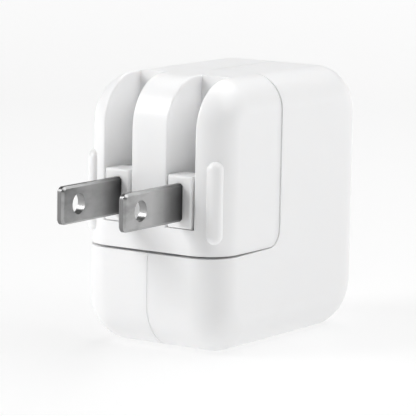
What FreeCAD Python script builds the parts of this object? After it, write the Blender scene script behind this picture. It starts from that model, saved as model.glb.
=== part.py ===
"""USB wall charger: a rounded square body with a removable plug module whose two prongs fold away.

Millimetres. The origin is on the floor at the middle of the body's base, +Z is up, the prongs
point along -Y and the two large square faces look along +X and -X.
"""
import FreeCAD, Part
import math
import os

V = FreeCAD.Vector
ALONG_X = V(1, 0, 0)
ALONG_Y = V(0, 1, 0)
ALONG_Z = V(0, 0, 1)

OUT = 60.0                    # past the outside of everything
NEAR = 1e-4                   # how close a point must be to count as on a surface

# Body: a rounded square seen from the side
WIDTH = 29.4                  # between the two large faces, along X
SIDE = 47.3                   # of the square, along Y and along Z
CORNER_R = 8.7                # of the square's corners
EDGE_R = 6.1                  # from the narrow faces round to the large ones
WALL = 1.8                    # of the case
FRONT_Y = -SIDE / 2
REAR_Y = SIDE / 2
JOINT_LINE_W = 0.14           # groove along the joint of the two case halves
JOINT_LINE_DEPTH = 0.12
LIP_REACH = 1.0               # the left half's lip stands this far into the right half
LIP_T = 0.8
FIT = 0.05                    # between pieces that drop into each other

# Where the plug module meets the case
SEAM_Y = -4.4                 # upright face of the case
SEAM_GAP = 0.03
MODULE_Z = 17.6               # underside of the module
SHOULDER_FRONT_Z = 17.15      # the case's shoulder falls away to the front
SHOULDER_REAR_Z = 17.54
SEAM_ROUND = 0.03
INNER_CORNER_R = 3.1          # of the case, where the shoulder turns up
MODULE_CORNER_R = 3.0         # of the module there, so that the gap closes round the turn
MODULE_INSET = 0.22           # the module is slimmer than the case by this on each large face
MODULE_WALL = 1.6
MODULE_FLOOR = 1.5
COVER_T = 1.7
COVER_SET_IN = 0.15           # from the module's rim to its back cover

# Prongs: a two-blade plug
BLADE_X = 6.35                # half the 12.7 spacing
BLADE_T = 1.52
BLADE_H = 6.5
BLADE_OUT = 16.9              # from the rotor's face to the tip
BLADE_CORNER = 1.0
BLADE_BEVEL = 0.4             # round the tip only
BLADE_HOLE_R = 1.8
BLADE_HOLE_FROM_FACE = 12.35
BLADE_SHANK = 2.0             # the full height ends this far in front of the pivot
BLADE_TAIL_HALF_H = 2.2

# Folding rotor
PIVOT_Y = -19.1
PIVOT_Z = 26.6
ROTOR_R = 4.55                # half height of a block and radius of its round back
ROTOR_FACE = 4.65             # from the pivot to the front of a block
ROTOR_X = 6.48                # half the spacing of the two blocks
ROTOR_SHIFT = -0.06           # the rotor lies at one end of its side play
ROTOR_W = 4.97
ROTOR_ROUND = 0.5
AXLE_R = 2.0
AXLE_END = 11.2               # half the length of the slot that the axle lies in
AXLE_PLAY = 0.2
CAM_HALF = 1.65               # half thickness between the cam's flats
CAM_HALF_W = 1.9
RUNNING = 0.05                # radial clearance of the axle

# Grooves that take the folded prongs
GROOVE_X = 6.46
GROOVE_W = 5.62
GROOVE_BOTTOM = 22.0
GROOVE_FLOOR_Y = -13.95       # floor beside the rotor
GROOVE_FLOOR_TOP_Y = -13.2    # floor where it runs out at the top
GROOVE_WALL = 1.2
GROOVE_SHELF = 1.25           # wall under the groove
GROOVE_LIP_R = 0.35
LINER_INSET = 0.4             # the groove's walls end this far under the module's outside

# Bearing plate behind the rotor
BRIDGE_TOP = 31.8
BRIDGE_HALF_W = 11.0
BRIDGE_WINDOW = (1.7, 27.25, 2.75)      # half width, middle height and half height

# Finger grips on the module's front edges
GRIP_LOW = 19.7
GRIP_HIGH = 33.9
GRIP_W = 2.85
GRIP_PROUD = 1.05
GRIP_ROUND = 1.2
GRIP_TURN = 47.0              # from straight out of a large face towards the front
GRIP_ROOT = 2.0               # the grip starts this far from the middle of the rounded edge

# Stud that holds the module down
STUD_Y = -13.0
STUD_FOOT_Z = 17.45           # the neck stands on the shoulder
STUD_NECK_R = 2.1
STUD_HEAD_R = 3.6
STUD_HEAD_LOW = 19.2
STUD_HEAD_HIGH = 20.3
STUD_ROUND = 0.3
STUD_SHANK_R = 1.5
STUD_TAIL = 0.4               # the shank passes the nut by this
STUD_CLEAR = 0.3              # round the head in the back cover
NUT_FLAT = 5.5
NUT_H = 1.9
CHANNEL_CLEAR = 0.2           # between the neck and its channel

# Springs in the module
LEAF_T = 0.3
STUD_SPRING_Y = (-18.0, -8.0)
STUD_SPRING_HALF_W = 5.0
STUD_SPRING_CORNER = 1.5
DETENT_HALF_H = 3.6
DETENT_SIDE_GAP = 0.3         # each side, inside the cam
CONTACT_HALF_W = 1.45
CONTACT_JOINT = (3.1, 1.4)    # from the socket's contact to the strip's inner side, and half height
CONTACT_STEP_Z = 28.6         # where the leaf turns forward
CONTACT_LOW_Z = 25.6          # lower end of the pad on the prong

# Figure-eight inlet between the module and the case
INLET_Z = 35.0
INLET_X = 4.3                 # half the 8.6 spacing of its pins
INLET_PIN_R = 1.2
INLET_PIN_TIP = 0.5           # rounding of a pin's tip
INLET_PIN_BACK = 2.0          # a pin's tip lies this far inside the recess
INLET_BODY_DEPTH = 8.2        # behind the case's wall
INLET_BODY_HALF = (9.4, 5.0)  # half width and half height
INLET_BODY_CORNER = 1.0
RECESS_R = 3.9
RECESS_DEPTH = 8.2
TONGUE_R = 3.7
TONGUE_LENGTH = 7.7
TONGUE_ROUND = 0.4            # of the tongue's tip
NOSE_R = 4.85
WAIST = 0.9                   # the outline narrows by this between its lobes
LEAD_HALF_W = 0.8
LEAD_T = 0.4
LEAD_STUB = 1.5               # from the inlet back to where the lead turns
LEAD_DROP = 2.6               # the neutral lead runs this far below the live one

# Socket in the module
SOCKET_REAR = -11.5
SOCKET_HALF = (8.4, 4.4)      # half width and half height
SOCKET_CORNER = 1.2
SLEEVE_R = 1.7
SLEEVE_T = 0.45
SLEEVE_SPLIT = 0.15           # half width of the split that lets a sleeve spring
SLEEVE_SET_BACK = 0.2         # from the tongue's tip to the mouth of a sleeve
SLEEVE_BORE_END = SEAM_Y + 0.4
SLEEVE_BASE = 0.6             # solid end of a sleeve
SLEEVE_RING = 2.0             # a sleeve stays whole for this far from the end of its bore
SOCKET_TAIL = 0.4             # the contacts stand this far out of the block's back
SOCKET_TAIL_HALF_W = 1.0

# USB port, in the middle of the rear face with its long side upright
USB_Z = SIDE / 2
USB_HALF_T = 2.86
USB_HALF_H = 6.55
USB_SHEET = 0.3
USB_DEPTH = 14.0
USB_INSET = 0.35
USB_WINDOW_GAP = 0.15
USB_CORNER = 0.5
USB_SPRING_Z = 2.9            # middle of each spring tab, from the port's middle
USB_SPRING_HALF_W = 0.9
USB_SPRING_FREE_END = 3.0     # from the mouth
USB_SPRING_ROOT = 9.0
USB_SLOT = 0.4                # width of the cuts round a tab
USB_PLUG_T = 2.2              # insulator across the back of the port
USB_TONGUE_LOW_X = 0.25
USB_TONGUE_T = 1.84
USB_TONGUE_HALF_H = 5.55
USB_TONGUE_BACK = 1.2         # from the mouth to the tongue's tip
USB_TONGUE_BEVEL = 0.35
USB_CONTACT_Z = (-3.5, -1.0, 1.0, 3.5)
USB_CONTACT_W = 1.0
USB_CONTACT_T = 0.2
USB_CONTACT_BACK = 2.45       # from the mouth to the contacts' tips
USB_TAIL_OUT = 0.5            # the tails bend over this far behind the port

# Circuit boards, and the sheets between them and the case
BOARD_T = 1.6
PRIMARY_X = -9.8              # face that carries the parts
SECONDARY_X = 9.8
BOARD_LOW = 4.0
BOARD_HIGH = 43.0
BOARD_REAR = 19.0
BOARD_CLIP = 4.0              # rear corners are cut off by this
PRIMARY_FRONT = -18.0
PRIMARY_FRONT_CLIP = 2.0
PRIMARY_STEP = (-1.5, 14.4)   # the board steps down in front of this place, under the module
SECONDARY_FRONT = 0.0
SHEET_SPAN = (1.0, 16.0, 7.0, 39.0)     # y and z limits of the two sheets
FILM_X = -12.55
FILM_T = 0.25
HEAT_PLATE_X = 12.0
HEAT_PLATE_T = 0.4

# Electrolytic cans
CAN_RIM = 0.4
CRIMP_R = 0.5
CRIMP_UP = 2.2                # from the base to the groove round a can
CRIMP_SHALLOW = 0.15
BULK_R = 4.75
BULK_LENGTH = 15.5
BULK_X = (-4.0, 6.3)
BULK_Y = -17.0
BULK_Z = 7.3
OUTPUT_CAN_R = 3.1
OUTPUT_CAN_LENGTH = 9.5
OUTPUT_CAN_X = 6.5
OUTPUT_CAN_Y = (5.2, 12.4)
OUTPUT_CAN_Z = 18.0

# Transformer
TRANSFORMER = V(-1.6, 8.0, 10.0)        # its middle
CORE_HALF_T = 3.0
CORE_HALF_Y = 7.8
CORE_HALF_Z = 6.4
CORE_LEG = 2.4                # half width of the middle leg
CORE_WINDOW = 5.4             # outer side of each window
CORE_YOKE = 4.4               # inner side of the yokes
CORE_GAP = 0.02               # half the joint between the two halves
BOBBIN_WALL = 0.6
FLANGE_HALF_X = 6.2
FLANGE_CLEAR = 0.1
COIL_HALF_X = 6.0
COIL_CLEAR = 0.2
COIL_CORNER = 1.2

# Mains filter choke: a ring with two coils
CHOKE = V(3.6, 15.0, 37.0)
CHOKE_R = 4.0                 # of the ring's middle line
CHOKE_HALF_T = 1.1
CHOKE_HALF_L = 1.8
CHOKE_COIL_T = 0.7
CHOKE_COIL_CLEAR = 0.02
CHOKE_COIL_HALF_H = 3.4
CHOKE_COIL_INNER = 0.9        # the coils stop this far from the ring's middle

# Smaller parts, as x, y and z limits
FILM_CAPACITOR = (-8.6, -2.4, 9.0, 19.0, 32.0, 41.0)
FILM_CAPACITOR_ROUND = 0.4
RECTIFIER = (PRIMARY_X, PRIMARY_X + 2.6, 12.5, 18.5, 19.0, 26.5)
TRANSISTOR = (PRIMARY_X + 0.6, -4.6, 1.5, 7.5, 18.5, 27.0)
SINK_UPRIGHT = (-4.6, -3.6, -1.2, 8.6, 17.2, 28.6)
SINK_FOOT = (PRIMARY_X, -4.6, -1.2, -0.2, 17.2, 28.6)
OUTPUT_RECTIFIER = (SECONDARY_X - 2.3, SECONDARY_X, 1.2, 6.6, 6.0, 15.0)
EPOXY_BEVEL = 0.3
CHIP = (PRIMARY_X, PRIMARY_X + 1.6, 12.4, 16.4, 28.6, 31.6)
CHIP_LEGS = 4                 # on each long side
CHIP_LEG_OUT = 0.9
CHIP_LEG_T = 0.25
CHIP_LEG_HALF_W = 0.2

# Round parts
DISC = V(6.0, 16.5, 12.0)     # left face of the disc capacitor
DISC_R = 3.6
DISC_T = 2.8
DISC_ROUND = 0.9
FUSE = V(-4.0, 2.0, 43.0)     # front end of the fuse
FUSE_R = 1.6
FUSE_LENGTH = 9.5
FUSE_ROUND = 0.3
DRUM = V(SECONDARY_X - 4.6, 18.5, 27.0) # inner end of the output inductor
DRUM_R = 2.7
DRUM_LENGTH = 4.6
DRUM_WAIST_R = 2.0
DRUM_FLANGE = 1.0


# ---------------------------------------------------------------- helpers

def box(x0, x1, y0, y1, z0, z1):
    return Part.makeBox(x1 - x0, y1 - y0, z1 - z0, V(x0, y0, z0))


def centred_box(centre, half_x, half_y, half_z):
    c = centre
    return box(c.x - half_x, c.x + half_x, c.y - half_y, c.y + half_y, c.z - half_z, c.z + half_z)


def flat_solid(corners, along):
    """Solid over an outline of points, as long and as turned as a vector."""
    face = Part.Face(Part.makePolygon(corners + corners[:1]))
    return face.extrude(along)


def prism(points, x0, x1):
    """Solid between x0 and x1 over an outline of (y, z) points."""
    return flat_solid([V(x0, y, z) for y, z in points], V(x1 - x0, 0, 0))


def rod(radius, start, direction, length):
    return Part.makeCylinder(radius, length, start, direction)


def rod_x(radius, x0, x1, y, z):
    return rod(radius, V(x0, y, z), ALONG_X, x1 - x0)


def rod_y(radius, x, y0, y1, z):
    return rod(radius, V(x, y0, z), ALONG_Y, y1 - y0)


def rod_z(radius, x, y, z0, z1):
    return rod(radius, V(x, y, z0), ALONG_Z, z1 - z0)


def edges_along(shape, direction):
    """Straight edges parallel to a direction."""
    found = []
    for edge in shape.Edges:
        if edge.Curve.TypeId == "Part::GeomLine":
            if edge.tangentAt(edge.FirstParameter).cross(direction).Length < 1e-6:
                found.append(edge)
    return found


def circle_edges(shape):
    return [e for e in shape.Edges if e.Curve.TypeId == "Part::GeomCircle"]


def edge_points(edge, spans=6):
    """Evenly spaced points along an edge, both ends among them."""
    first, last = edge.ParameterRange
    return [edge.valueAt(first + (last - first) * k / spans) for k in range(spans + 1)]


def edges_where(shape, test):
    """Edges whose every sampled point passes the test."""
    return [e for e in shape.Edges if all(test(p) for p in edge_points(e))]


def rim_edges(shape, whole, cutter):
    """Edges that a cutter's surface has left round the outside of a whole block."""
    skin = cutter.Shells[0]
    found = []
    for edge in edges_where(shape, lambda p: skin.distToShape(Part.Vertex(p))[0] < NEAR):
        if not whole.isInside(edge_points(edge)[3], NEAR, False):
            found.append(edge)
    return found


def mirrored(shape):
    return shape.mirror(V(0, 0, 0), ALONG_X)


def one_solid(shape):
    """The plain solid inside a boolean result."""
    clean = shape.removeSplitter()
    return clean.Solids[0] if len(clean.Solids) == 1 else clean


def rounded_block(width, side, corner, edge, low):
    """Rounded square in the YZ plane, with its rims rounded towards +X and -X."""
    block = box(-width / 2, width / 2, -side / 2, side / 2, low, low + side)
    block = block.makeFillet(corner, edges_along(block, ALONG_X))
    rims = edges_where(block, lambda p: abs(abs(p.x) - width / 2) < NEAR)
    return block.makeFillet(edge, rims)


def turned_corner(space, y, z, radius):
    """Rounds the edge along X that passes through a place."""
    def is_corner(p):
        return abs(p.y - y) < NEAR and abs(p.z - z) < NEAR

    return space.makeFillet(radius, edges_where(space, is_corner))


def figure_eight(radius, y0, y1):
    """Two joined lobes about the inlet's two pins."""
    waist = radius - WAIST
    shape = box(-INLET_X, INLET_X, y0, y1, INLET_Z - waist, INLET_Z + waist)
    for x in (-INLET_X, INLET_X):
        shape = shape.fuse(rod_y(radius, x, y0, y1, INLET_Z))
    return shape.removeSplitter()


# ---------------------------------------------------------------- case

def module_space(into_case):
    """Corner that the plug module takes out of the body, grown into the case."""
    rear = SEAM_Y + into_case
    slope = (SHOULDER_REAR_Z - SHOULDER_FRONT_Z) / (SEAM_Y - FRONT_Y)
    low_rear = SHOULDER_REAR_Z - into_case
    low_front = low_rear - slope * (rear + OUT)
    space = prism([(-OUT, low_front), (rear, low_rear), (rear, OUT), (-OUT, OUT)], -OUT, OUT)
    return turned_corner(space, rear, low_rear, INNER_CORNER_R + into_case)


def case_block(inset):
    """Outside of the case as if no corner were missing, or the same drawn in."""
    return rounded_block(WIDTH - 2 * inset, SIDE - 2 * inset, CORNER_R - inset, EDGE_R - inset, inset)


def case_cavity(wall):
    """Inside of the case for a given wall thickness."""
    return case_block(wall).cut(module_space(wall))


def usb_window():
    half_x = USB_HALF_T + USB_WINDOW_GAP
    half_z = USB_HALF_H + USB_WINDOW_GAP
    window = centred_box(V(0, REAR_Y, USB_Z), half_x, 2 * WALL, half_z)
    return window.makeFillet(USB_CORNER, edges_along(window, ALONG_Y))


def case_openings():
    """Windows for the inlet, the stud and the USB port."""
    inlet = figure_eight(NOSE_R + FIT, SEAM_Y - WALL, SEAM_Y + 2 * WALL)
    stud = rod_z(STUD_SHANK_R + 2 * FIT, 0, STUD_Y, nut_low(), STUD_HEAD_LOW)
    return inlet.fuse(stud).fuse(usb_window())


def case_shell():
    block = case_block(0)
    space = module_space(0)
    outside = block.cut(space)
    outside = outside.makeFillet(SEAM_ROUND, rim_edges(outside, block, space))
    return outside.cut(case_cavity(WALL)).cut(case_openings())


def joint_line():
    """Shallow groove round the outside where the two halves meet."""
    half = JOINT_LINE_W / 2
    skin = case_block(0).cut(case_block(JOINT_LINE_DEPTH))
    return skin.common(box(-half, half, -OUT, OUT, -OUT, OUT))


def case_lip(thickness, reach):
    """Step along the inside of the joint between the case halves."""
    ring = case_cavity(WALL - thickness).cut(case_cavity(WALL))
    return ring.common(box(0, reach, -OUT, OUT, -OUT, OUT)).cut(case_openings())


def case_half_left():
    half = case_shell().common(box(-OUT, 0, -OUT, OUT, -OUT, OUT)).cut(joint_line())
    return one_solid(half.fuse(case_lip(LIP_T, LIP_REACH)))


def case_half_right():
    half = case_shell().common(box(0, OUT, -OUT, OUT, -OUT, OUT)).cut(joint_line())
    reach = LIP_REACH + FIT
    rebate = case_cavity(WALL - LIP_T - FIT).common(box(0, reach, -OUT, OUT, -OUT, OUT))
    return one_solid(half.cut(rebate))


def module_stud():
    """Metal button on the shoulder that the module slides over."""
    head = rod_z(STUD_HEAD_R, 0, STUD_Y, STUD_HEAD_LOW, STUD_HEAD_HIGH)
    head = head.makeFillet(STUD_ROUND, edges_where(head, lambda p: p.z > STUD_HEAD_HIGH - NEAR))
    neck = rod_z(STUD_NECK_R, 0, STUD_Y, STUD_FOOT_Z, STUD_HEAD_LOW)
    shank = rod_z(STUD_SHANK_R, 0, STUD_Y, nut_low() - STUD_TAIL, STUD_FOOT_Z)
    return one_solid(head.fuse(neck).fuse(shank))


def nut_top():
    return SHOULDER_FRONT_Z + FIT - WALL


def nut_low():
    return nut_top() - NUT_H


def hexagon(flat, x, y, z0, z1):
    radius = flat / math.sqrt(3)
    turns = [math.pi * k / 3 for k in range(6)]
    corners = [V(x + radius * math.cos(a), y + radius * math.sin(a), z0) for a in turns]
    return flat_solid(corners, V(0, 0, z1 - z0))


def stud_nut():
    bore = rod_z(STUD_SHANK_R + FIT / 2, 0, STUD_Y, 0, SIDE)
    return one_solid(hexagon(NUT_FLAT, 0, STUD_Y, nut_low(), nut_top()).cut(bore))


# ---------------------------------------------------------------- inlet

def inlet_rear():
    return SEAM_Y + WALL + INLET_BODY_DEPTH


def inlet_block():
    """Insulator with the figure-eight recess."""
    half_x, half_z = INLET_BODY_HALF
    body = box(-half_x, half_x, SEAM_Y + WALL, inlet_rear(), INLET_Z - half_z, INLET_Z + half_z)
    body = body.makeFillet(INLET_BODY_CORNER, edges_along(body, ALONG_Y))
    nose = figure_eight(NOSE_R, SEAM_Y, SEAM_Y + WALL)
    recess = figure_eight(RECESS_R, SEAM_Y - WALL, SEAM_Y + RECESS_DEPTH)
    block = body.fuse(nose).cut(recess)
    for x in (-INLET_X, INLET_X):
        block = block.cut(rod_y(INLET_PIN_R, x, 0, SIDE, INLET_Z))
    return one_solid(block)


def inlet_pins():
    pins = []
    tip_y = SEAM_Y + INLET_PIN_BACK
    for x in (-INLET_X, INLET_X):
        pin = rod_y(INLET_PIN_R, x, tip_y, inlet_rear(), INLET_Z)
        pins.append(pin.makeFillet(INLET_PIN_TIP, edges_where(pin, lambda p: p.y < tip_y + NEAR)))
    return Part.makeCompound(pins)


def inlet_lead(x, drop):
    """Flat tinned lead from the back of an inlet pin across to the primary board."""
    y0 = inlet_rear()
    y1 = y0 + LEAD_STUB
    half = LEAD_HALF_W
    z = INLET_Z
    stub = box(x - half, x + half, y0, y1, z - half, z + half)
    down = box(x - half, x + half, y1 - LEAD_T, y1, z - drop - half, z + half)
    across = box(PRIMARY_X, x + half, y1 - LEAD_T, y1, z - drop - half, z - drop + half)
    return one_solid(stub.fuse(down).fuse(across))


def inlet_lead_live():
    return inlet_lead(-INLET_X, 0)


def inlet_lead_neutral():
    return inlet_lead(INLET_X, LEAD_DROP)


# ---------------------------------------------------------------- USB port

def usb_mouth():
    return REAR_Y - USB_INSET


def usb_box(shrink, y0, y1):
    half_x = USB_HALF_T - shrink
    half_z = USB_HALF_H - shrink
    return box(-half_x, half_x, y0, y1, USB_Z - half_z, USB_Z + half_z)


def usb_tab_cuts():
    """Cuts round the four spring tabs, two through each long side."""
    mouth = usb_mouth()
    half = USB_SPRING_HALF_W + USB_SLOT / 2
    cuts = []
    for middle in (USB_Z - USB_SPRING_Z, USB_Z + USB_SPRING_Z):
        for z in (middle - USB_SPRING_HALF_W, middle + USB_SPRING_HALF_W):
            slot = box(-OUT, OUT, mouth - USB_SPRING_ROOT, mouth - USB_SPRING_FREE_END,
                       z - USB_SLOT / 2, z + USB_SLOT / 2)
            cuts.append(slot)
        end_y = mouth - USB_SPRING_FREE_END
        cuts.append(box(-OUT, OUT, end_y, end_y + USB_SLOT, middle - half, middle + half))
    return cuts


def usb_shell():
    """Folded sheet shell of the receptacle, with its spring tabs cut free."""
    outer = usb_box(0, usb_mouth() - USB_DEPTH, usb_mouth())
    outer = outer.makeFillet(USB_CORNER, edges_along(outer, ALONG_Y))
    return one_solid(outer.cut(usb_box(USB_SHEET, 0, SIDE)).cut(usb_tab_cuts()))


def usb_contact(z):
    """Contact strip on the tongue, with a tail bent over to the secondary board."""
    x1 = USB_TONGUE_LOW_X
    x0 = x1 - USB_CONTACT_T
    low = USB_Z + z - USB_CONTACT_W / 2
    high = low + USB_CONTACT_W
    tail_y = usb_mouth() - USB_DEPTH - USB_TAIL_OUT
    strip = box(x0, x1, tail_y, usb_mouth() - USB_CONTACT_BACK, low, high)
    tail = box(x0, SECONDARY_X, tail_y, tail_y + USB_CONTACT_T, low, high)
    return one_solid(strip.fuse(tail))


def usb_contacts():
    return Part.makeCompound([usb_contact(z) for z in USB_CONTACT_Z])


def usb_tongue():
    """Moulded insulator: a plug across the back of the shell and the tongue in front of it."""
    y0 = usb_mouth() - USB_DEPTH
    plug = usb_box(USB_SHEET, y0, y0 + USB_PLUG_T)
    tip_y = usb_mouth() - USB_TONGUE_BACK
    x0 = USB_TONGUE_LOW_X
    half = USB_TONGUE_HALF_H
    tongue = box(x0, x0 + USB_TONGUE_T, y0, tip_y, USB_Z - half, USB_Z + half)
    tongue = tongue.makeChamfer(USB_TONGUE_BEVEL, edges_where(tongue, lambda p: p.y > tip_y - NEAR))
    return one_solid(plug.fuse(tongue).cut(usb_contacts()))


# ---------------------------------------------------------------- boards and sheets

def board_rear_corners():
    """The two rear corners of either board, from low to high."""
    return [(BOARD_REAR - BOARD_CLIP, BOARD_LOW), (BOARD_REAR, BOARD_LOW + BOARD_CLIP),
            (BOARD_REAR, BOARD_HIGH - BOARD_CLIP), (BOARD_REAR - BOARD_CLIP, BOARD_HIGH)]


def primary_board():
    """L-shaped board along the left large face."""
    clip = PRIMARY_FRONT_CLIP
    step_y, step_z = PRIMARY_STEP
    front = [(PRIMARY_FRONT, BOARD_LOW + clip), (PRIMARY_FRONT + clip, BOARD_LOW)]
    step = [(step_y, BOARD_HIGH), (step_y, step_z), (PRIMARY_FRONT, step_z)]
    return prism(front + board_rear_corners() + step, PRIMARY_X - BOARD_T, PRIMARY_X)


def secondary_board():
    front = [(SECONDARY_FRONT, BOARD_HIGH), (SECONDARY_FRONT, BOARD_LOW)]
    return prism(board_rear_corners() + front, SECONDARY_X, SECONDARY_X + BOARD_T)


def insulating_sheet():
    """Thin film between the primary board's soldered side and the case."""
    return box(FILM_X, FILM_X + FILM_T, *SHEET_SPAN)


def heat_plate():
    """Metal plate between the secondary board and the case."""
    return box(HEAT_PLATE_X, HEAT_PLATE_X + HEAT_PLATE_T, *SHEET_SPAN)


# ---------------------------------------------------------------- what the boards carry

def cylinder_can(radius, start, direction, length):
    """Electrolytic can with rounded rims and the groove crimped near its base."""
    can = rod(radius, start, direction, length)
    can = can.makeFillet(CAN_RIM, circle_edges(can))
    crimp = Part.makeTorus(radius + CRIMP_SHALLOW, CRIMP_R, start + direction * CRIMP_UP, direction)
    return one_solid(can.cut(crimp))


def bulk_capacitors():
    """Two large cans that lie under the shoulder."""
    cans = [cylinder_can(BULK_R, V(x, BULK_Y, BULK_Z), ALONG_Y, BULK_LENGTH) for x in BULK_X]
    return Part.makeCompound(cans)


def output_capacitors():
    starts = [V(OUTPUT_CAN_X, y, OUTPUT_CAN_Z) for y in OUTPUT_CAN_Y]
    return Part.makeCompound([cylinder_can(OUTPUT_CAN_R, s, ALONG_Z, OUTPUT_CAN_LENGTH) for s in starts])


def transformer_core():
    """Pair of E-shaped ferrite halves, meeting in the middle."""
    core = centred_box(TRANSFORMER, CORE_HALF_T, CORE_HALF_Y, CORE_HALF_Z)
    middle = (CORE_LEG + CORE_WINDOW) / 2
    for side in (-1, 1):
        centre = TRANSFORMER + V(0, side * middle, 0)
        window = centred_box(centre, 2 * CORE_HALF_T, (CORE_WINDOW - CORE_LEG) / 2, CORE_YOKE)
        core = core.cut(window)
    halves = []
    for side in (-1, 1):
        centre = TRANSFORMER + V(0, 0, side * (OUT + CORE_GAP))
        halves.append(core.common(centred_box(centre, OUT, OUT, OUT)).Solids[0])
    return Part.makeCompound(halves)


def transformer_bobbin():
    """Moulded former on the middle leg, with a flange at each end."""
    half_x = CORE_HALF_T + FIT
    half_y = CORE_LEG + FIT
    half_z = CORE_YOKE - FIT
    bobbin = centred_box(TRANSFORMER, half_x + BOBBIN_WALL, half_y + BOBBIN_WALL, half_z)
    for side in (-1, 1):
        centre = TRANSFORMER + V(0, 0, side * (half_z - BOBBIN_WALL / 2))
        flange = centred_box(centre, FLANGE_HALF_X, CORE_WINDOW - FLANGE_CLEAR, BOBBIN_WALL / 2)
        bobbin = bobbin.fuse(flange)
    return one_solid(bobbin.cut(centred_box(TRANSFORMER, half_x, half_y, OUT)))


def transformer_winding():
    """Taped coil between the former's two flanges."""
    half_z = CORE_YOKE - BOBBIN_WALL - 2 * FIT
    coil = centred_box(TRANSFORMER, COIL_HALF_X, CORE_WINDOW - COIL_CLEAR, half_z)
    coil = coil.makeFillet(COIL_CORNER, edges_along(coil, ALONG_Z))
    grow = BOBBIN_WALL + 2 * FIT
    return one_solid(coil.cut(centred_box(TRANSFORMER, CORE_HALF_T + grow, CORE_LEG + grow, OUT)))


def choke_ring(grow, half_length):
    def rod_about(radius, half):
        return rod_x(radius, CHOKE.x - half, CHOKE.x + half, CHOKE.y, CHOKE.z)

    outer = rod_about(CHOKE_R + CHOKE_HALF_T + grow, half_length)
    return outer.cut(rod_about(CHOKE_R - CHOKE_HALF_T - grow, 2 * half_length))


def choke_core():
    """Ferrite ring of the mains filter."""
    return one_solid(choke_ring(0, CHOKE_HALF_L))


def choke_windings():
    """Two coils on opposite sides of the ring."""
    clear = CHOKE_COIL_CLEAR
    sleeve = choke_ring(CHOKE_COIL_T, CHOKE_HALF_L + CHOKE_COIL_T)
    sleeve = sleeve.cut(choke_ring(clear, CHOKE_HALF_L + clear))
    half_y = 2 * CHOKE_R
    coils = []
    for side in (-1, 1):
        centre = CHOKE + V(0, side * (CHOKE_COIL_INNER + half_y), 0)
        keep = centred_box(centre, OUT, half_y, CHOKE_COIL_HALF_H)
        coils.append(sleeve.common(keep).Solids[0])
    return Part.makeCompound(coils)


def mains_capacitor():
    """Boxed film capacitor across the mains input."""
    body = box(*FILM_CAPACITOR)
    return body.makeFillet(FILM_CAPACITOR_ROUND, body.Edges)


def bridging_capacitor():
    """Disc capacitor between the two sides of the transformer."""
    disc = rod(DISC_R, DISC, ALONG_X, DISC_T)
    return disc.makeFillet(DISC_ROUND, circle_edges(disc))


def fuse():
    """Sleeved fuse above the film capacitor."""
    body = rod(FUSE_R, FUSE, ALONG_Y, FUSE_LENGTH)
    return body.makeFillet(FUSE_ROUND, circle_edges(body))


def bridge_rectifier():
    body = box(*RECTIFIER)
    return body.makeChamfer(EPOXY_BEVEL, edges_along(body, ALONG_Z) + edges_along(body, ALONG_Y))


def switch_transistor():
    """Power transistor standing against its heat sink."""
    return box(*TRANSISTOR)


def heat_sink():
    """Bent aluminium plate beside the switch transistor."""
    return one_solid(box(*SINK_UPRIGHT).fuse(box(*SINK_FOOT)))


def control_chip():
    """Small outline chip with a row of legs on each long side."""
    x0, x1, y0, y1, z0, z1 = CHIP
    body = box(*CHIP)
    pitch = (z1 - z0) / CHIP_LEGS
    for k in range(CHIP_LEGS):
        z = z0 + pitch * (k + 0.5)
        body = body.fuse(box(x0, x0 + CHIP_LEG_T, y0 - CHIP_LEG_OUT, y1 + CHIP_LEG_OUT,
                             z - CHIP_LEG_HALF_W, z + CHIP_LEG_HALF_W))
    return one_solid(body)


def output_rectifier():
    body = box(*OUTPUT_RECTIFIER)
    return body.makeChamfer(EPOXY_BEVEL, edges_along(body, ALONG_Z))


def output_inductor():
    """Drum-shaped choke beside the port: two flanges on a narrower waist."""
    waist = rod(DRUM_WAIST_R, DRUM, ALONG_X, DRUM_LENGTH)
    flanges = [rod(DRUM_R, DRUM + V(x, 0, 0), ALONG_X, DRUM_FLANGE) for x in (0, DRUM_LENGTH - DRUM_FLANGE)]
    return one_solid(waist.fuse(flanges))


# ---------------------------------------------------------------- plug module

def module_form(inset):
    """Outside of the module, or the same form drawn in by a wall."""
    width = WIDTH - 2 * MODULE_INSET - 2 * inset
    return rounded_block(width, SIDE - 2 * inset, CORNER_R - inset, EDGE_R - inset, inset)


def module_rear():
    return SEAM_Y - SEAM_GAP


def module_corner(inset):
    """Space in front of the module's back and above its underside, with their turn rounded."""
    rear = module_rear() - inset
    low = MODULE_Z + inset
    space = box(-OUT, OUT, -OUT, rear, low, OUT)
    return turned_corner(space, rear, low, MODULE_CORNER_R - inset)


def module_outside():
    block = module_form(0)
    space = module_corner(0)
    outside = block.common(space)
    return outside.makeFillet(SEAM_ROUND, rim_edges(outside, block, space))


def module_cavity(inset, low):
    room = box(-OUT, OUT, -OUT, module_rear() + 1, low, OUT)
    return module_form(inset).common(room)


def groove_outline(low, floor_y, floor_top_y):
    """Side view of a groove: level bottom, upright floor by the rotor, then a leaning floor."""
    lean = (floor_top_y - floor_y) / (SIDE - PIVOT_Z)
    top_y = floor_y + lean * (OUT - PIVOT_Z)
    return [(-OUT, low), (floor_y, low), (floor_y, PIVOT_Z), (top_y, OUT), (-OUT, OUT)]


def groove_space():
    outline = groove_outline(GROOVE_BOTTOM, GROOVE_FLOOR_Y, GROOVE_FLOOR_TOP_Y)
    return prism(outline, GROOVE_X - GROOVE_W / 2, GROOVE_X + GROOVE_W / 2)


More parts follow.
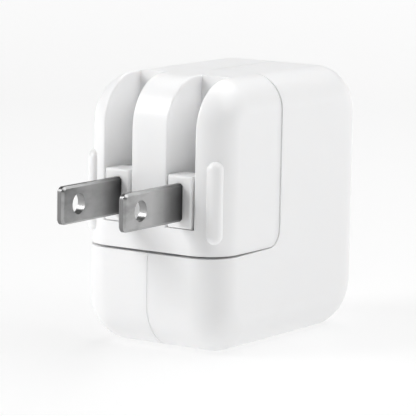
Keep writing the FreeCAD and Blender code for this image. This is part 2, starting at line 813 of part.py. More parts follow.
def groove_liner():
    """Solid that leaves the groove's walls once the groove is cut from it."""
    low = GROOVE_BOTTOM - GROOVE_SHELF
    outline = groove_outline(low, GROOVE_FLOOR_Y + GROOVE_WALL, GROOVE_FLOOR_TOP_Y + GROOVE_WALL)
    half = GROOVE_W / 2 + GROOVE_WALL
    return prism(outline, GROOVE_X - half, GROOVE_X + half)


def grip():
    """Raised pill on the right front edge, made on +X and turned to face outwards."""
    face_r = EDGE_R + GRIP_PROUD
    end_r = GRIP_W / 2
    low = GRIP_LOW + end_r
    high = GRIP_HIGH - end_r
    pill = box(GRIP_ROOT, face_r, -end_r, end_r, low, high)
    for z in (low, high):
        pill = pill.fuse(rod_x(end_r, GRIP_ROOT, face_r, 0, z))
    pill = pill.removeSplitter()
    pill = pill.makeFillet(GRIP_ROUND, edges_where(pill, lambda p: p.x > face_r - NEAR))
    pill.rotate(V(0, 0, 0), ALONG_Z, -GRIP_TURN)
    pill.translate(V(WIDTH / 2 - MODULE_INSET - EDGE_R, FRONT_Y + EDGE_R, 0))
    return pill


def stud_channel():
    """Keyhole in the module's floor, open to the rear, that the stud slides along."""
    half = STUD_NECK_R + CHANNEL_CLEAR
    low = MODULE_Z - MODULE_FLOOR
    high = MODULE_Z + MODULE_FLOOR + FIT
    return box(-half, half, STUD_Y, 0, low, high).fuse(rod_z(half, 0, STUD_Y, low, high))


def axle_slot():
    """Slots through the groove walls that the rotor's axle drops into from behind."""
    r = AXLE_R + RUNNING
    reach = AXLE_END + AXLE_PLAY
    slot = box(-reach, reach, PIVOT_Y, GROOVE_FLOOR_Y, PIVOT_Z - r, PIVOT_Z + r)
    return slot.fuse(rod_x(r, -reach, reach, PIVOT_Y, PIVOT_Z))


def bridge_pocket():
    """Room behind the rotor for its bearing plate."""
    rear = GROOVE_FLOOR_TOP_Y + 2 * GROOVE_WALL
    return box(-AXLE_END, AXLE_END, GROOVE_FLOOR_Y, rear, GROOVE_BOTTOM, BRIDGE_TOP + FIT)


def groove_lips(shell):
    """Long edges where the groove walls come out through the front, the corner and the top."""
    centre_y = FRONT_Y + CORNER_R
    centre_z = SIDE - CORNER_R
    walls = [GROOVE_X - GROOVE_W / 2, GROOVE_X + GROOVE_W / 2]
    near_outside = 0.2

    def on_lip(p):
        if min(abs(abs(p.x) - wall) for wall in walls) > NEAR or p.z < GROOVE_BOTTOM - NEAR:
            return False
        if p.y > GROOVE_FLOOR_TOP_Y + near_outside:
            return False
        if p.z < centre_z:
            return p.y < FRONT_Y + near_outside
        if p.y > centre_y:
            return p.z > SIDE - near_outside
        return math.hypot(p.y - centre_y, p.z - centre_z) > CORNER_R - near_outside

    return edges_where(shell, on_lip)


def module_shell():
    """Outer skin of the plug module, with the grooves and the finger grips moulded in."""
    shell = module_outside().cut(module_cavity(MODULE_WALL, MODULE_Z + MODULE_FLOOR))
    liner = groove_liner().common(module_form(LINER_INSET))
    shell = shell.fuse([liner, mirrored(liner)])
    groove = groove_space()
    shell = shell.cut([groove, mirrored(groove), axle_slot(), bridge_pocket(), stud_channel()])
    shell = shell.removeSplitter()
    shell = shell.makeFillet(GROOVE_LIP_R, groove_lips(shell))
    pill = grip().cut(module_form(MODULE_WALL / 2))
    return one_solid(shell.fuse([pill, mirrored(pill)]))


def bearing_fin(low_x):
    """Fin that closes one axle slot up to the axle."""
    high_x = low_x + GROOVE_WALL - 2 * FIT
    return box(low_x, high_x, PIVOT_Y, GROOVE_FLOOR_Y + 2 * FIT, PIVOT_Z - AXLE_R, PIVOT_Z + AXLE_R)


def rotor_bridge():
    """Plate behind the rotor: its fins close the axle slots and its windows pass the contacts."""
    half_w = BRIDGE_HALF_W
    plate = box(-half_w, half_w, GROOVE_FLOOR_Y + FIT, GROOVE_FLOOR_Y + GROOVE_WALL,
                GROOVE_BOTTOM + FIT, BRIDGE_TOP)
    for wall in (GROOVE_X - GROOVE_W / 2 - GROOVE_WALL, GROOVE_X + GROOVE_W / 2):
        fin = bearing_fin(wall + FIT)
        plate = plate.fuse([fin, mirrored(fin)])
    plate = plate.cut(rod_x(AXLE_R + RUNNING, -OUT, OUT, PIVOT_Y, PIVOT_Z))
    half_x, middle_z, half_z = BRIDGE_WINDOW
    for x in (-GROOVE_X, GROOVE_X):
        plate = plate.cut(centred_box(V(x, GROOVE_FLOOR_Y, middle_z), half_x, 2 * GROOVE_WALL, half_z))
    return one_solid(plate)


def cover_rear():
    return module_rear() - COVER_SET_IN


def cover_front():
    return cover_rear() - COVER_T


def back_cover():
    """Closes the module behind; the socket's tongue and the stud pass through it."""
    plate = module_form(MODULE_WALL + FIT).common(module_corner(COVER_SET_IN))
    plate = plate.common(box(-OUT, OUT, cover_front(), 0, MODULE_Z + MODULE_FLOOR + FIT, OUT))
    plate = plate.cut(figure_eight(TONGUE_R + FIT, -SIDE, SIDE))
    half = STUD_HEAD_R + STUD_CLEAR
    return one_solid(plate.cut(box(-half, half, -SIDE, SIDE, 0, STUD_HEAD_HIGH + STUD_CLEAR)))


def socket_insulator():
    """Block inside the module whose figure-eight tongue goes into the case's inlet."""
    half_x, half_z = SOCKET_HALF
    body = box(-half_x, half_x, SOCKET_REAR, cover_front(), INLET_Z - half_z, INLET_Z + half_z)
    body = body.makeFillet(SOCKET_CORNER, edges_along(body, ALONG_Y))
    tip_y = module_rear() + TONGUE_LENGTH
    tongue = figure_eight(TONGUE_R, cover_front(), tip_y)
    tongue = tongue.makeFillet(TONGUE_ROUND, edges_where(tongue, lambda p: p.y > tip_y - NEAR))
    block = body.fuse(tongue)
    for x in (-INLET_X, INLET_X):
        block = block.cut(rod_y(SLEEVE_R + FIT, x, -SIDE, SIDE, INLET_Z))
    return one_solid(block)


def socket_contact(x):
    """Brass sleeve that grips an inlet pin, with a tail to the back of the block."""
    mouth = module_rear() + TONGUE_LENGTH - SLEEVE_SET_BACK
    base = SLEEVE_BORE_END - SLEEVE_BASE
    sleeve = rod_y(SLEEVE_R, x, base, mouth, INLET_Z)
    sleeve = sleeve.cut(rod_y(SLEEVE_R - SLEEVE_T, x, SLEEVE_BORE_END, SIDE, INLET_Z))
    half_w = SOCKET_TAIL_HALF_W
    tail = box(x - half_w, x + half_w, SOCKET_REAR - SOCKET_TAIL, base, INLET_Z - LEAF_T, INLET_Z + LEAF_T)
    split = box(x - SLEEVE_SPLIT, x + SLEEVE_SPLIT, SLEEVE_BORE_END + SLEEVE_RING, SIDE,
                INLET_Z, INLET_Z + 2 * SLEEVE_R)
    return one_solid(sleeve.fuse(tail).cut(split))


def socket_contacts():
    return Part.makeCompound([socket_contact(x) for x in (-INLET_X, INLET_X)])


def contact_spring():
    """Bronze leaf from the right socket sleeve down to the back of the right prong."""
    rear = SOCKET_REAR - SOCKET_TAIL
    touch = PIVOT_Y + ROTOR_R + RUNNING
    x0 = GROOVE_X - CONTACT_HALF_W
    x1 = GROOVE_X + CONTACT_HALF_W
    joint_x, joint_half_h = CONTACT_JOINT
    step = CONTACT_STEP_Z
    joint = box(joint_x, x1, rear - LEAF_T, rear, INLET_Z - joint_half_h, INLET_Z + joint_half_h)
    strip = box(x0, x1, rear - LEAF_T, rear, step, INLET_Z)
    forward = box(x0, x1, touch, rear, step, step + LEAF_T)
    pad = box(x0, x1, touch, touch + LEAF_T, CONTACT_LOW_Z, step + LEAF_T)
    return one_solid(joint.fuse([strip, forward, pad]))


def contact_springs():
    spring = contact_spring()
    return Part.makeCompound([spring, mirrored(spring)])


def stud_spring():
    """Spring plate that presses on the stud's head."""
    high = GROOVE_BOTTOM - GROOVE_SHELF
    front, rear = STUD_SPRING_Y
    plate = box(-STUD_SPRING_HALF_W, STUD_SPRING_HALF_W, front, rear, high - LEAF_T, high)
    return plate.makeFillet(STUD_SPRING_CORNER, edges_along(plate, ALONG_Z))


def detent_spring():
    """Leaf that rests on a flat of the rotor's cam in both positions."""
    front = PIVOT_Y + CAM_HALF + RUNNING
    anchor = GROOVE_FLOOR_Y + FIT
    half_w = CAM_HALF_W - DETENT_SIDE_GAP
    low = PIVOT_Z - DETENT_HALF_H
    high = PIVOT_Z + DETENT_HALF_H
    leaf = box(-half_w, half_w, front, front + LEAF_T, low, high)
    low_leg = box(-half_w, half_w, front, anchor, low - LEAF_T, low)
    high_leg = box(-half_w, half_w, front, anchor, high, high + LEAF_T)
    return one_solid(leaf.fuse([low_leg, high_leg]))


# ---------------------------------------------------------------- prongs

def blade():
    """Right prong: outer blade with a bevelled, round-cornered tip and a tail through the rotor."""
    tip_y = PIVOT_Y - ROTOR_FACE - BLADE_OUT
    shank_y = PIVOT_Y - BLADE_SHANK
    x0 = BLADE_X - BLADE_T / 2
    x1 = BLADE_X + BLADE_T / 2
    outer = box(x0, x1, tip_y, shank_y, PIVOT_Z - BLADE_H / 2, PIVOT_Z + BLADE_H / 2)
    tip_corners = [e for e in edges_along(outer, ALONG_X) if e.CenterOfMass.y < tip_y + NEAR]
    outer = outer.makeFillet(BLADE_CORNER, tip_corners)

    def on_tip_rim(p):
        on_side = min(abs(p.x - x0), abs(p.x - x1)) < NEAR
        return on_side and p.y < tip_y + BLADE_CORNER + NEAR

    outer = outer.makeChamfer(BLADE_BEVEL, edges_where(outer, on_tip_rim))
    hole_y = tip_y + BLADE_OUT - BLADE_HOLE_FROM_FACE
    outer = outer.cut(rod_x(BLADE_HOLE_R, 0, WIDTH, hole_y, PIVOT_Z))
    round_back = rod_x(ROTOR_R, x0, x1, PIVOT_Y, PIVOT_Z)
    half = BLADE_TAIL_HALF_H
    tail = box(x0, x1, shank_y, 0, PIVOT_Z - half, PIVOT_Z + half).common(round_back)
    return one_solid(outer.fuse(tail))


def prong_right():
    return blade()


def prong_left():
    return mirrored(blade())


def rotor_block(middle):
    """White block that holds one prong, square in front and round behind."""
    x0 = middle - ROTOR_W / 2
    x1 = middle + ROTOR_W / 2
    block = box(x0, x1, PIVOT_Y - ROTOR_FACE, PIVOT_Y, PIVOT_Z - ROTOR_R, PIVOT_Z + ROTOR_R)
    block = block.fuse(rod_x(ROTOR_R, x0, x1, PIVOT_Y, PIVOT_Z)).removeSplitter()
    rim = edges_where(block, lambda p: p.y < PIVOT_Y - ROTOR_FACE + NEAR)
    return block.makeFillet(ROTOR_ROUND, rim)


def cam_flats():
    """What is cut from the axle to leave a square cam between the blocks."""
    pivot = V(0, PIVOT_Y, PIVOT_Z)
    half = AXLE_R
    away = CAM_HALF + half
    offsets = [V(0, away, 0), V(0, -away, 0), V(0, 0, away), V(0, 0, -away)]
    flats = []
    for offset in offsets:
        across = 2 * half
        half_y = half if offset.y else across
        half_z = half if offset.z else across
        flats.append(centred_box(pivot + offset, CAM_HALF_W, half_y, half_z))
    return flats


def prong_rotor():
    """White moulding that both prongs are set in: two blocks on one axle, with a cam between."""
    blocks = [rotor_block(side * ROTOR_X + ROTOR_SHIFT) for side in (-1, 1)]
    half = AXLE_END - AXLE_PLAY
    rotor = rod_x(AXLE_R, -half, half, PIVOT_Y, PIVOT_Z).fuse(blocks)
    return one_solid(rotor.cut(cam_flats() + [blade(), mirrored(blade())]))


# ---------------------------------------------------------------- write

PIECES = [
    case_half_left, case_half_right, module_stud, stud_nut,
    inlet_block, inlet_pins, inlet_lead_live, inlet_lead_neutral,
    usb_shell, usb_tongue, usb_contacts,
    primary_board, secondary_board, insulating_sheet, heat_plate,
    bulk_capacitors, output_capacitors, transformer_core, transformer_bobbin, transformer_winding,
    choke_core, choke_windings, mains_capacitor, bridging_capacitor, fuse,
    bridge_rectifier, switch_transistor, heat_sink, control_chip, output_rectifier, output_inductor,
    module_shell, back_cover, rotor_bridge, socket_insulator, socket_contacts, contact_springs,
    stud_spring, detent_spring,
    prong_rotor, prong_left, prong_right,
]


def main():
    os.makedirs("parts", exist_ok=True)
    for piece in PIECES:
        shape = piece()
        shape.exportStep("parts/" + piece.__name__ + ".step")
        print(piece.__name__, len(shape.Solids), round(shape.Volume, 2), shape.isValid())


main()
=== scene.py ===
"""Looks of the USB wall charger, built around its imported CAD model. Metres, in the CAD frame."""
import math

import bpy
from mathutils import Matrix, Vector


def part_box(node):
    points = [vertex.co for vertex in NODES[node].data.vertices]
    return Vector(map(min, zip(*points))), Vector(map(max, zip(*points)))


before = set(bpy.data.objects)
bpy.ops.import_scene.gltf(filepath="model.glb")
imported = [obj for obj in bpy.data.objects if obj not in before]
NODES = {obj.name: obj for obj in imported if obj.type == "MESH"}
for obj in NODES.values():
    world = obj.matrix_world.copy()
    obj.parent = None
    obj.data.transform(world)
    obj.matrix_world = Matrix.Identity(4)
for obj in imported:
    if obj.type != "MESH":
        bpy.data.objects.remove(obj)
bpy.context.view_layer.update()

MM = 0.001

# Camera: where the photograph was taken from, about a point inside the body
AIM = Vector((0, 0, 25 * MM))
AZIMUTH = math.radians(33.45)
ELEVATION = math.radians(8.63)
ROLL = math.radians(1.105)
DISTANCE = 543.9 * MM
AIM_RIGHT = 2.85 * MM          # the aim point lies this far right of and above the picture's middle
AIM_UP = 2.73 * MM
LENS = 265.4                   # focal length and sensor width, in the camera's own millimetres
SENSOR = 36.0
CLIP_START = 10 * MM

# Studio: square soft lights round the aim point, as name, direction, distance, size and power in watts
LIGHTS = [
    ("key", (-0.55, -0.60, 0.59), 0.9, 0.4, 4.3),
    ("low_left", (-0.5, -0.85, 0.2), 0.9, 0.5, 0.9),
    ("back_right", (0.6, 0.8, 0.4), 0.9, 0.8, 0.7),
    ("right_top", (0.75, 0.15, 0.8), 0.9, 0.6, 2.95),
    ("top", (0.0, 0.45, 1.0), 1.0, 1.0, 7.3),
]

# Room: pale walls that fade to a dark ceiling between two heights, each the sine of an angle over the horizon
WALL_GLOW = 0.8
WALL_HIGH = 0.09
WALL_END = 0.2
CEILING_GLOW = 0.03

# Floor: a square sheet whose glow rises between two distances from its middle
FLOOR_HALF = 12.0
FLOOR_COLOUR = (0.3, 0.3, 0.3)
FLOOR_NEAR = 0.35
FLOOR_FAR = 1.2
FLOOR_GLOW = 0.63
FLOOR_FAR_GLOW = 0.92

# Colours of plastics and metals, as reflectance
SHELL_WHITE = (0.95, 0.95, 0.953)
ROTOR_WHITE = (0.94, 0.94, 0.94)
INNER_WHITE = (0.66, 0.66, 0.65)
USB_WHITE = (0.75, 0.75, 0.74)
# Prong greys: the darkening towards the rotor is painted shade, a dark reflection painted into the plating
PRONG_GREYS_WITH_PAINTED_SHADE = [(0.0, 0.43), (0.45, 0.48), (0.65, 0.38), (0.8, 0.21), (1.0, 0.05)]  # flat sides, tip to rotor
SHEARED_GREY = (0.2, 0.2, 0.2)
DRUM_FERRITE = (0.05, 0.05, 0.052)
DRUM_COPPER = (0.58, 0.22, 0.08)
EPOXY_BLACK = (0.018, 0.018, 0.02)
EPOXY_SPECK = (0.05, 0.05, 0.052)
TINNED_LEG = (0.7, 0.7, 0.69)
TINNED_PAD = (0.7, 0.7, 0.68)

# Noise, in cells per metre; three numbers stretch it along an axis
DRAWN_ALONG_Y = (1500.0, 150.0, 1500.0)
DRAWN_ALONG_Z = (1500.0, 1500.0, 150.0)
PRONG_GRAIN = (2600.0, 160.0, 2600.0)
PRONG_SCUFFS = (900.0, 260.0, 520.0)
MOULDING_CLOUD = 55.0
MOULDING_GLOSS = 240.0
MOULDING_RIPPLE = 900.0
SPARK_GRAIN = 2600.0
EPOXY_GRAIN = 2200.0

# Rings, laps and turns, in radians per metre, and turns round a whole ring
STUD_RINGS = 42000.0
TAPE_LAPS = 5200.0
DRUM_TURNS = 30000.0
CHOKE_TURNS = 58

# Lengths on the pieces
TRACK_GAP = 0.22 * MM
TRACK_LENGTH = 4.6 * MM
TRACK_PITCH = 2.1 * MM
CHIP_LEG = 0.9 * MM
DRUM_FLANGE = 1.0 * MM
SLEEVE_RIM = 0.6 * MM          # bare metal at each end of a can
STRIPE_W = 2.5 * MM
LIGHT_DEPTH = 1.5 * MM         # how far light wanders inside the white plastic
OUT_OF_REACH = 1.0             # past the end of any piece
SHEARED_BELOW = 0.3            # a prong's face is a sheared edge if its normal has less than this along X

# Joining the patches of the CAD meshes
WELD_DISTANCE = 0.002 * MM
SHARP_ANGLE = math.radians(30)
LARGE_FACES_RULE = 100         # highest weight: the largest faces decide how a corner is shaded


# ---------------------------------------------------------------- stage

def camera_axes():
    """Right, up and back of the camera, rolled about its own axis."""
    sin_a, cos_a = math.sin(AZIMUTH), math.cos(AZIMUTH)
    sin_e, cos_e = math.sin(ELEVATION), math.cos(ELEVATION)
    back = Vector((sin_a * cos_e, -cos_a * cos_e, sin_e))
    right = Vector((cos_a, sin_a, 0))
    up = back.cross(right)
    return (right * math.cos(ROLL) + up * math.sin(ROLL),
            up * math.cos(ROLL) - right * math.sin(ROLL),
            back)


def make_camera():
    """Camera at the photograph's place, angle and focal length."""
    right, up, back = camera_axes()
    camera = bpy.data.objects.new("camera", bpy.data.cameras.new("camera"))
    camera.data.lens = LENS
    camera.data.sensor_width = SENSOR
    camera.data.clip_start = CLIP_START
    place = AIM + back * DISTANCE - right * AIM_RIGHT - up * AIM_UP
    turn = Matrix((right, up, back)).transposed().to_4x4()
    camera.matrix_world = Matrix.Translation(place) @ turn
    bpy.context.scene.collection.objects.link(camera)
    bpy.context.scene.camera = camera


def soft_light(name, direction, distance, size, power):
    """Square area light that faces the charger from a direction."""
    light = bpy.data.lights.new(name, "AREA")
    light.shape = "SQUARE"
    light.size = size
    light.energy = power
    lamp = bpy.data.objects.new(name, light)
    towards = Vector(direction).normalized()
    lamp.location = AIM + towards * distance
    lamp.rotation_mode = "QUATERNION"
    lamp.rotation_quaternion = towards.to_track_quat("Z", "Y")
    bpy.context.scene.collection.objects.link(lamp)


def make_world():
    """Room whose pale walls meet the far edge of the floor."""
    world = bpy.data.worlds.new("studio")
    world.use_nodes = True
    tree = world.node_tree
    direction = tree.nodes.new("ShaderNodeTexCoord")
    height = tree.nodes.new("ShaderNodeSeparateXYZ")
    glow = tree.nodes.new("ShaderNodeMapRange")
    for name, value in (("From Min", WALL_HIGH), ("From Max", WALL_END),
                        ("To Min", WALL_GLOW), ("To Max", CEILING_GLOW)):
        glow.inputs[name].default_value = value
    background = tree.nodes["Background"]
    background.inputs["Color"].default_value = (1, 1, 1, 1)
    tree.links.new(direction.outputs["Generated"], height.inputs["Vector"])
    tree.links.new(height.outputs["Z"], glow.inputs["Value"])
    tree.links.new(glow.outputs["Result"], background.inputs["Strength"])
    bpy.context.scene.world = world


def make_floor():
    """Level sheet that the charger stands on."""
    mesh = bpy.data.meshes.new("floor")
    half = FLOOR_HALF
    corners = [(-half, -half, 0), (half, -half, 0), (half, half, 0), (-half, half, 0)]
    mesh.from_pydata(corners, [], [(0, 1, 2, 3)])
    floor = bpy.data.objects.new("floor", mesh)
    bpy.context.scene.collection.objects.link(floor)
    floor.data.materials.append(floor_paint())


# ---------------------------------------------------------------- material helpers

class Paint:
    """A node material on a Principled surface, with short calls for the nodes it is made of."""

    def __init__(self, name, colour, roughness, metallic=0.0):
        self.material = bpy.data.materials.new(name)
        self.material.use_nodes = True
        self.tree = self.material.node_tree
        self.shader = self.tree.nodes["Principled BSDF"]
        self.set("Base Color", (*colour, 1.0))
        self.set("Roughness", roughness)
        self.set("Metallic", metallic)
        self.place = self.node("ShaderNodeTexCoord").outputs["Object"]
        self.axes = self.split(self.place)

    def node(self, kind, **settings):
        made = self.tree.nodes.new(kind)
        for key, value in settings.items():
            setattr(made, key, value)
        return made

    def link(self, source, target):
        self.tree.links.new(source, target)

    def set(self, name, value):
        self.shader.inputs[name].default_value = value

    def feed(self, source, name):
        self.link(source, self.shader.inputs[name])

    def split(self, vector):
        parts = self.node("ShaderNodeSeparateXYZ")
        self.link(vector, parts.inputs["Vector"])
        return parts.outputs

    def stretched(self, scale):
        """The place in the object, scaled by a different amount along each axis."""
        mapping = self.node("ShaderNodeMapping")
        mapping.inputs["Scale"].default_value = scale
        self.link(self.place, mapping.inputs["Vector"])
        return mapping.outputs["Vector"]

    def math(self, operation, *values):
        """One math node; numbers become its defaults and sockets are linked."""
        made = self.node("ShaderNodeMath", operation=operation)
        for socket, value in zip(made.inputs, values):
            if isinstance(value, (int, float)):
                socket.default_value = value
            else:
                self.link(value, socket)
        return made.outputs["Value"]

    def noise(self, scale, detail=4.0, vector=None):
        noise = self.node("ShaderNodeTexNoise")
        noise.inputs["Scale"].default_value = scale
        noise.inputs["Detail"].default_value = detail
        self.link(vector or self.place, noise.inputs["Vector"])
        return noise.outputs["Fac"]

    def between(self, factor, low, high, start=0.0, end=1.0):
        """A number that runs from low to high as the factor runs from start to end."""
        span = self.node("ShaderNodeMapRange")
        span.inputs["From Min"].default_value = start
        span.inputs["From Max"].default_value = end
        span.inputs["To Min"].default_value = low
        span.inputs["To Max"].default_value = high
        self.link(factor, span.inputs["Value"])
        return span.outputs["Result"]

    def ramp(self, factor, stops):
        """Colour ramp through (place, colour) stops."""
        ramp = self.node("ShaderNodeValToRGB")
        elements = ramp.color_ramp.elements
        while len(elements) < len(stops):
            elements.new(0.5)
        for element, (where, colour) in zip(elements, stops):
            element.position = where
            element.color = (*colour, 1.0)
        self.link(factor, ramp.inputs["Fac"])
        return ramp.outputs["Color"]

    def mix(self, factor, first, second):
        """Colour between two colours or colour sockets."""
        mix = self.node("ShaderNodeMix", data_type="RGBA")
        self.link(factor, mix.inputs[0])
        for socket, value in ((mix.inputs[6], first), (mix.inputs[7], second)):
            if isinstance(value, tuple):
                socket.default_value = (*value, 1.0)
            else:
                self.link(value, socket)
        return mix.outputs[2]

    def inside(self, axis, low, high):
        """1 where the place along an axis lies between two values, else 0."""
        above = self.math("GREATER_THAN", self.axes[axis], low)
        below = self.math("LESS_THAN", self.axes[axis], high)
        return self.math("MULTIPLY", above, below)

    def bump(self, height, strength, distance):
        """Relief in the shading; the distance is its depth."""
        bump = self.node("ShaderNodeBump")
        bump.inputs["Strength"].default_value = strength
        bump.inputs["Distance"].default_value = distance
        self.link(height, bump.inputs["Height"])
        self.feed(bump.outputs["Normal"], "Normal")


def scaled(colour, factor):
    """A colour made lighter or darker."""
    return tuple(c * factor for c in colour)


# ---------------------------------------------------------------- materials

def floor_paint():
    """White studio sheet that glows from within, more so far out, so that it is white all over."""
    paint = Paint("floor", FLOOR_COLOUR, 0.6)
    shade = paint.noise(6.0)
    paint.feed(paint.ramp(shade, [(0.0, scaled(FLOOR_COLOUR, 0.98)), (1.0, FLOOR_COLOUR)]), "Base Color")
    paint.set("Emission Color", (1.0, 1.0, 1.0, 1.0))
    length = paint.node("ShaderNodeVectorMath", operation="LENGTH")
    paint.link(paint.place, length.inputs[0])
    glow = paint.between(length.outputs["Value"], FLOOR_GLOW, FLOOR_FAR_GLOW, FLOOR_NEAR, FLOOR_FAR)
    paint.feed(glow, "Emission Strength")
    return paint.material


def white_plastic(name, colour, roughness):
    """Moulded polycarbonate: even colour, a gloss that varies slightly and the faint ripple of a moulding."""
    paint = Paint(name, colour, roughness)
    cloud = paint.noise(MOULDING_CLOUD)
    paint.feed(paint.ramp(cloud, [(0.3, scaled(colour, 0.985)), (0.7, colour)]), "Base Color")
    paint.feed(paint.between(paint.noise(MOULDING_GLOSS), roughness - 0.02, roughness + 0.04), "Roughness")
    paint.set("IOR", 1.5)
    paint.set("Subsurface Weight", 0.3)
    paint.set("Subsurface Radius", (1.0, 0.95, 0.9))
    paint.set("Subsurface Scale", LIGHT_DEPTH)
    paint.bump(paint.noise(MOULDING_RIPPLE, 2.0), 0.05, 0.05 * MM)
    return paint.material


def matte_plastic(name, colour, roughness=0.5):
    """Plain inner moulding with a fine spark-eroded grain."""
    paint = Paint(name, colour, roughness)
    grain = paint.noise(SPARK_GRAIN, 3.0)
    paint.feed(paint.ramp(grain, [(0.35, scaled(colour, 0.93)), (0.65, colour)]), "Base Color")
    paint.feed(paint.between(grain, roughness - 0.08, roughness + 0.08), "Roughness")
    paint.bump(grain, 0.2, 0.03 * MM)
    return paint.material


def nickel_plate():
    """Stamped brass under satin nickel, grained along each prong, with painted shade: the plating is painted
    darker towards the rotor, a painted dark reflection.

    The sheared faces round the outline are duller than the two flat sides, which are scuffed lengthwise.
    """
    paint = Paint("prong_nickel", (0.4, 0.4, 0.4), 0.3, 1.0)
    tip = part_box("prong_right")[0].y
    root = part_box("prong_rotor")[0].y
    grain = paint.noise(1.0, 6.0, paint.stretched(PRONG_GRAIN))
    cloud = paint.noise(320.0, 5.0)
    along = paint.between(paint.axes["Y"], 0.0, 1.0, tip, root)
    uneven = paint.math("ADD", along, paint.between(cloud, -0.06, 0.06))
    # Painted shade: the greys fall towards the rotor end, a dark reflection painted into the base colour
    flat = paint.ramp(uneven, [(place, (grey, grey, grey)) for place, grey in PRONG_GREYS_WITH_PAINTED_SHADE])
    across = paint.math("ABSOLUTE", paint.split(paint.node("ShaderNodeTexCoord").outputs["Normal"])["X"])
    sheared = paint.math("LESS_THAN", across, SHEARED_BELOW)
    patches = paint.noise(1.0, 6.0, paint.stretched(PRONG_SCUFFS))
    scuffed = paint.between(patches, 0.0, 0.6, 0.42, 0.7)
    dull = paint.math("MULTIPLY", paint.math("MAXIMUM", sheared, scuffed), paint.between(along, 1.0, 0.0))
    paint.feed(paint.mix(dull, flat, SHEARED_GREY), "Base Color")
    paint.feed(paint.between(grain, 0.3, 0.42), "Roughness")
    paint.bump(grain, 0.15, 0.03 * MM)
    return paint.material


def rolled_metal(name, colour, roughness, grain_scale=DRAWN_ALONG_Z):
    """Sheet or wire with a drawn grain and some tarnish."""
    paint = Paint(name, colour, roughness, 1.0)
    cloud = paint.noise(400.0, 5.0)
    paint.feed(paint.ramp(cloud, [(0.3, scaled(colour, 0.8)), (0.7, colour)]), "Base Color")
    grain = paint.noise(1.0, 4.0, paint.stretched(grain_scale))
    paint.feed(paint.between(grain, roughness - 0.03, roughness + 0.07), "Roughness")
    paint.bump(grain, 0.1, 0.03 * MM)
    return paint.material


def turned_metal(name, colour, roughness):
    """Steel turned about an upright axis: fine rings on its flat faces."""
    paint = Paint(name, colour, roughness, 1.0)
    low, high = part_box("module_stud")
    middle = (low + high) / 2
    away_x = paint.math("SUBTRACT", paint.axes["X"], middle.x)
    away_y = paint.math("SUBTRACT", paint.axes["Y"], middle.y)
    squares = paint.math("ADD", paint.math("POWER", paint.math("ABSOLUTE", away_x), 2.0),
                         paint.math("POWER", paint.math("ABSOLUTE", away_y), 2.0))
    rings = paint.math("SINE", paint.math("MULTIPLY", paint.math("SQRT", squares), STUD_RINGS))
    paint.feed(paint.between(rings, roughness - 0.03, roughness + 0.07, -1.0), "Roughness")
    paint.feed(paint.ramp(paint.noise(500.0), [(0.3, scaled(colour, 0.85)), (0.7, colour)]), "Base Color")
    paint.bump(rings, 0.15, 0.01 * MM)
    return paint.material


def speckled(name, colour, speck, roughness, scale=1800.0):
    """Sintered ferrite, moulded epoxy and the like: a fine two-tone grain."""
    paint = Paint(name, colour, roughness)
    grain = paint.noise(scale, 3.0)
    paint.feed(paint.ramp(grain, [(0.45, colour), (0.62, speck)]), "Base Color")
    paint.bump(grain, 0.3, 0.05 * MM)
    return paint.material


def circuit_board(name):
    """Green solder mask over upright and level copper tracks, with tinned pads."""
    mask = (0.015, 0.13, 0.05)
    track = (0.03, 0.2, 0.08)
    paint = Paint(name, mask, 0.3)
    cells = paint.node("ShaderNodeTexBrick")
    cells.offset = 0.35
    for key, value in (("Scale", 1.0), ("Mortar Size", TRACK_GAP), ("Mortar Smooth", 0.1),
                       ("Brick Width", TRACK_LENGTH), ("Row Height", TRACK_PITCH)):
        cells.inputs[key].default_value = value
    flat = paint.node("ShaderNodeCombineXYZ")
    paint.link(paint.axes["Y"], flat.inputs["X"])
    paint.link(paint.axes["Z"], flat.inputs["Y"])
    paint.link(flat.outputs["Vector"], cells.inputs["Vector"])
    dots = paint.node("ShaderNodeTexVoronoi")
    dots.inputs["Scale"].default_value = 420.0
    dots.inputs["Randomness"].default_value = 0.6
    paint.link(flat.outputs["Vector"], dots.inputs["Vector"])
    pad = paint.math("LESS_THAN", dots.outputs["Distance"], 0.14)
    base = paint.mix(cells.outputs["Fac"], mask, track)
    paint.feed(paint.mix(pad, base, TINNED_PAD), "Base Color")
    paint.feed(pad, "Metallic")
    paint.bump(paint.math("ADD", cells.outputs["Fac"], pad), 0.4, 0.04 * MM)
    return paint.material


def film_sheet():
    """Clear amber film that lets light through."""
    paint = Paint("film", (0.75, 0.55, 0.2), 0.25)
    cloud = paint.noise(120.0)
    paint.feed(paint.ramp(cloud, [(0.3, (0.7, 0.5, 0.16)), (0.7, (0.8, 0.6, 0.24))]), "Base Color")
    paint.set("Transmission Weight", 0.5)
    paint.bump(paint.noise(200.0), 0.1, 0.05 * MM)
    return paint.material


def can_sleeve(name, node, axis, sleeve, stripe):
    """Printed sleeve with a plain stripe down one side, and bare aluminium at both ends."""
    paint = Paint(name, sleeve, 0.3)
    low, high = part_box(node)
    index = "XYZ".index(axis)
    wrapped = paint.inside(axis, low[index] + SLEEVE_RIM, high[index] - SLEEVE_RIM)
    along_stripe = paint.inside("Z" if axis == "Y" else "Y", (low + high)[3 - index] / 2, OUT_OF_REACH)
    side = paint.inside("X", low.x, low.x + STRIPE_W)
    printed = paint.mix(paint.math("MULTIPLY", side, along_stripe), sleeve, stripe)
    metal = paint.ramp(paint.noise(700.0), [(0.3, (0.6, 0.6, 0.61)), (0.7, (0.75, 0.75, 0.76))])
    paint.feed(paint.mix(wrapped, metal, printed), "Base Color")
    paint.feed(paint.between(wrapped, 1.0, 0.0), "Metallic")
    paint.bump(paint.noise(600.0, 2.0), 0.1, 0.03 * MM)
    return paint.material


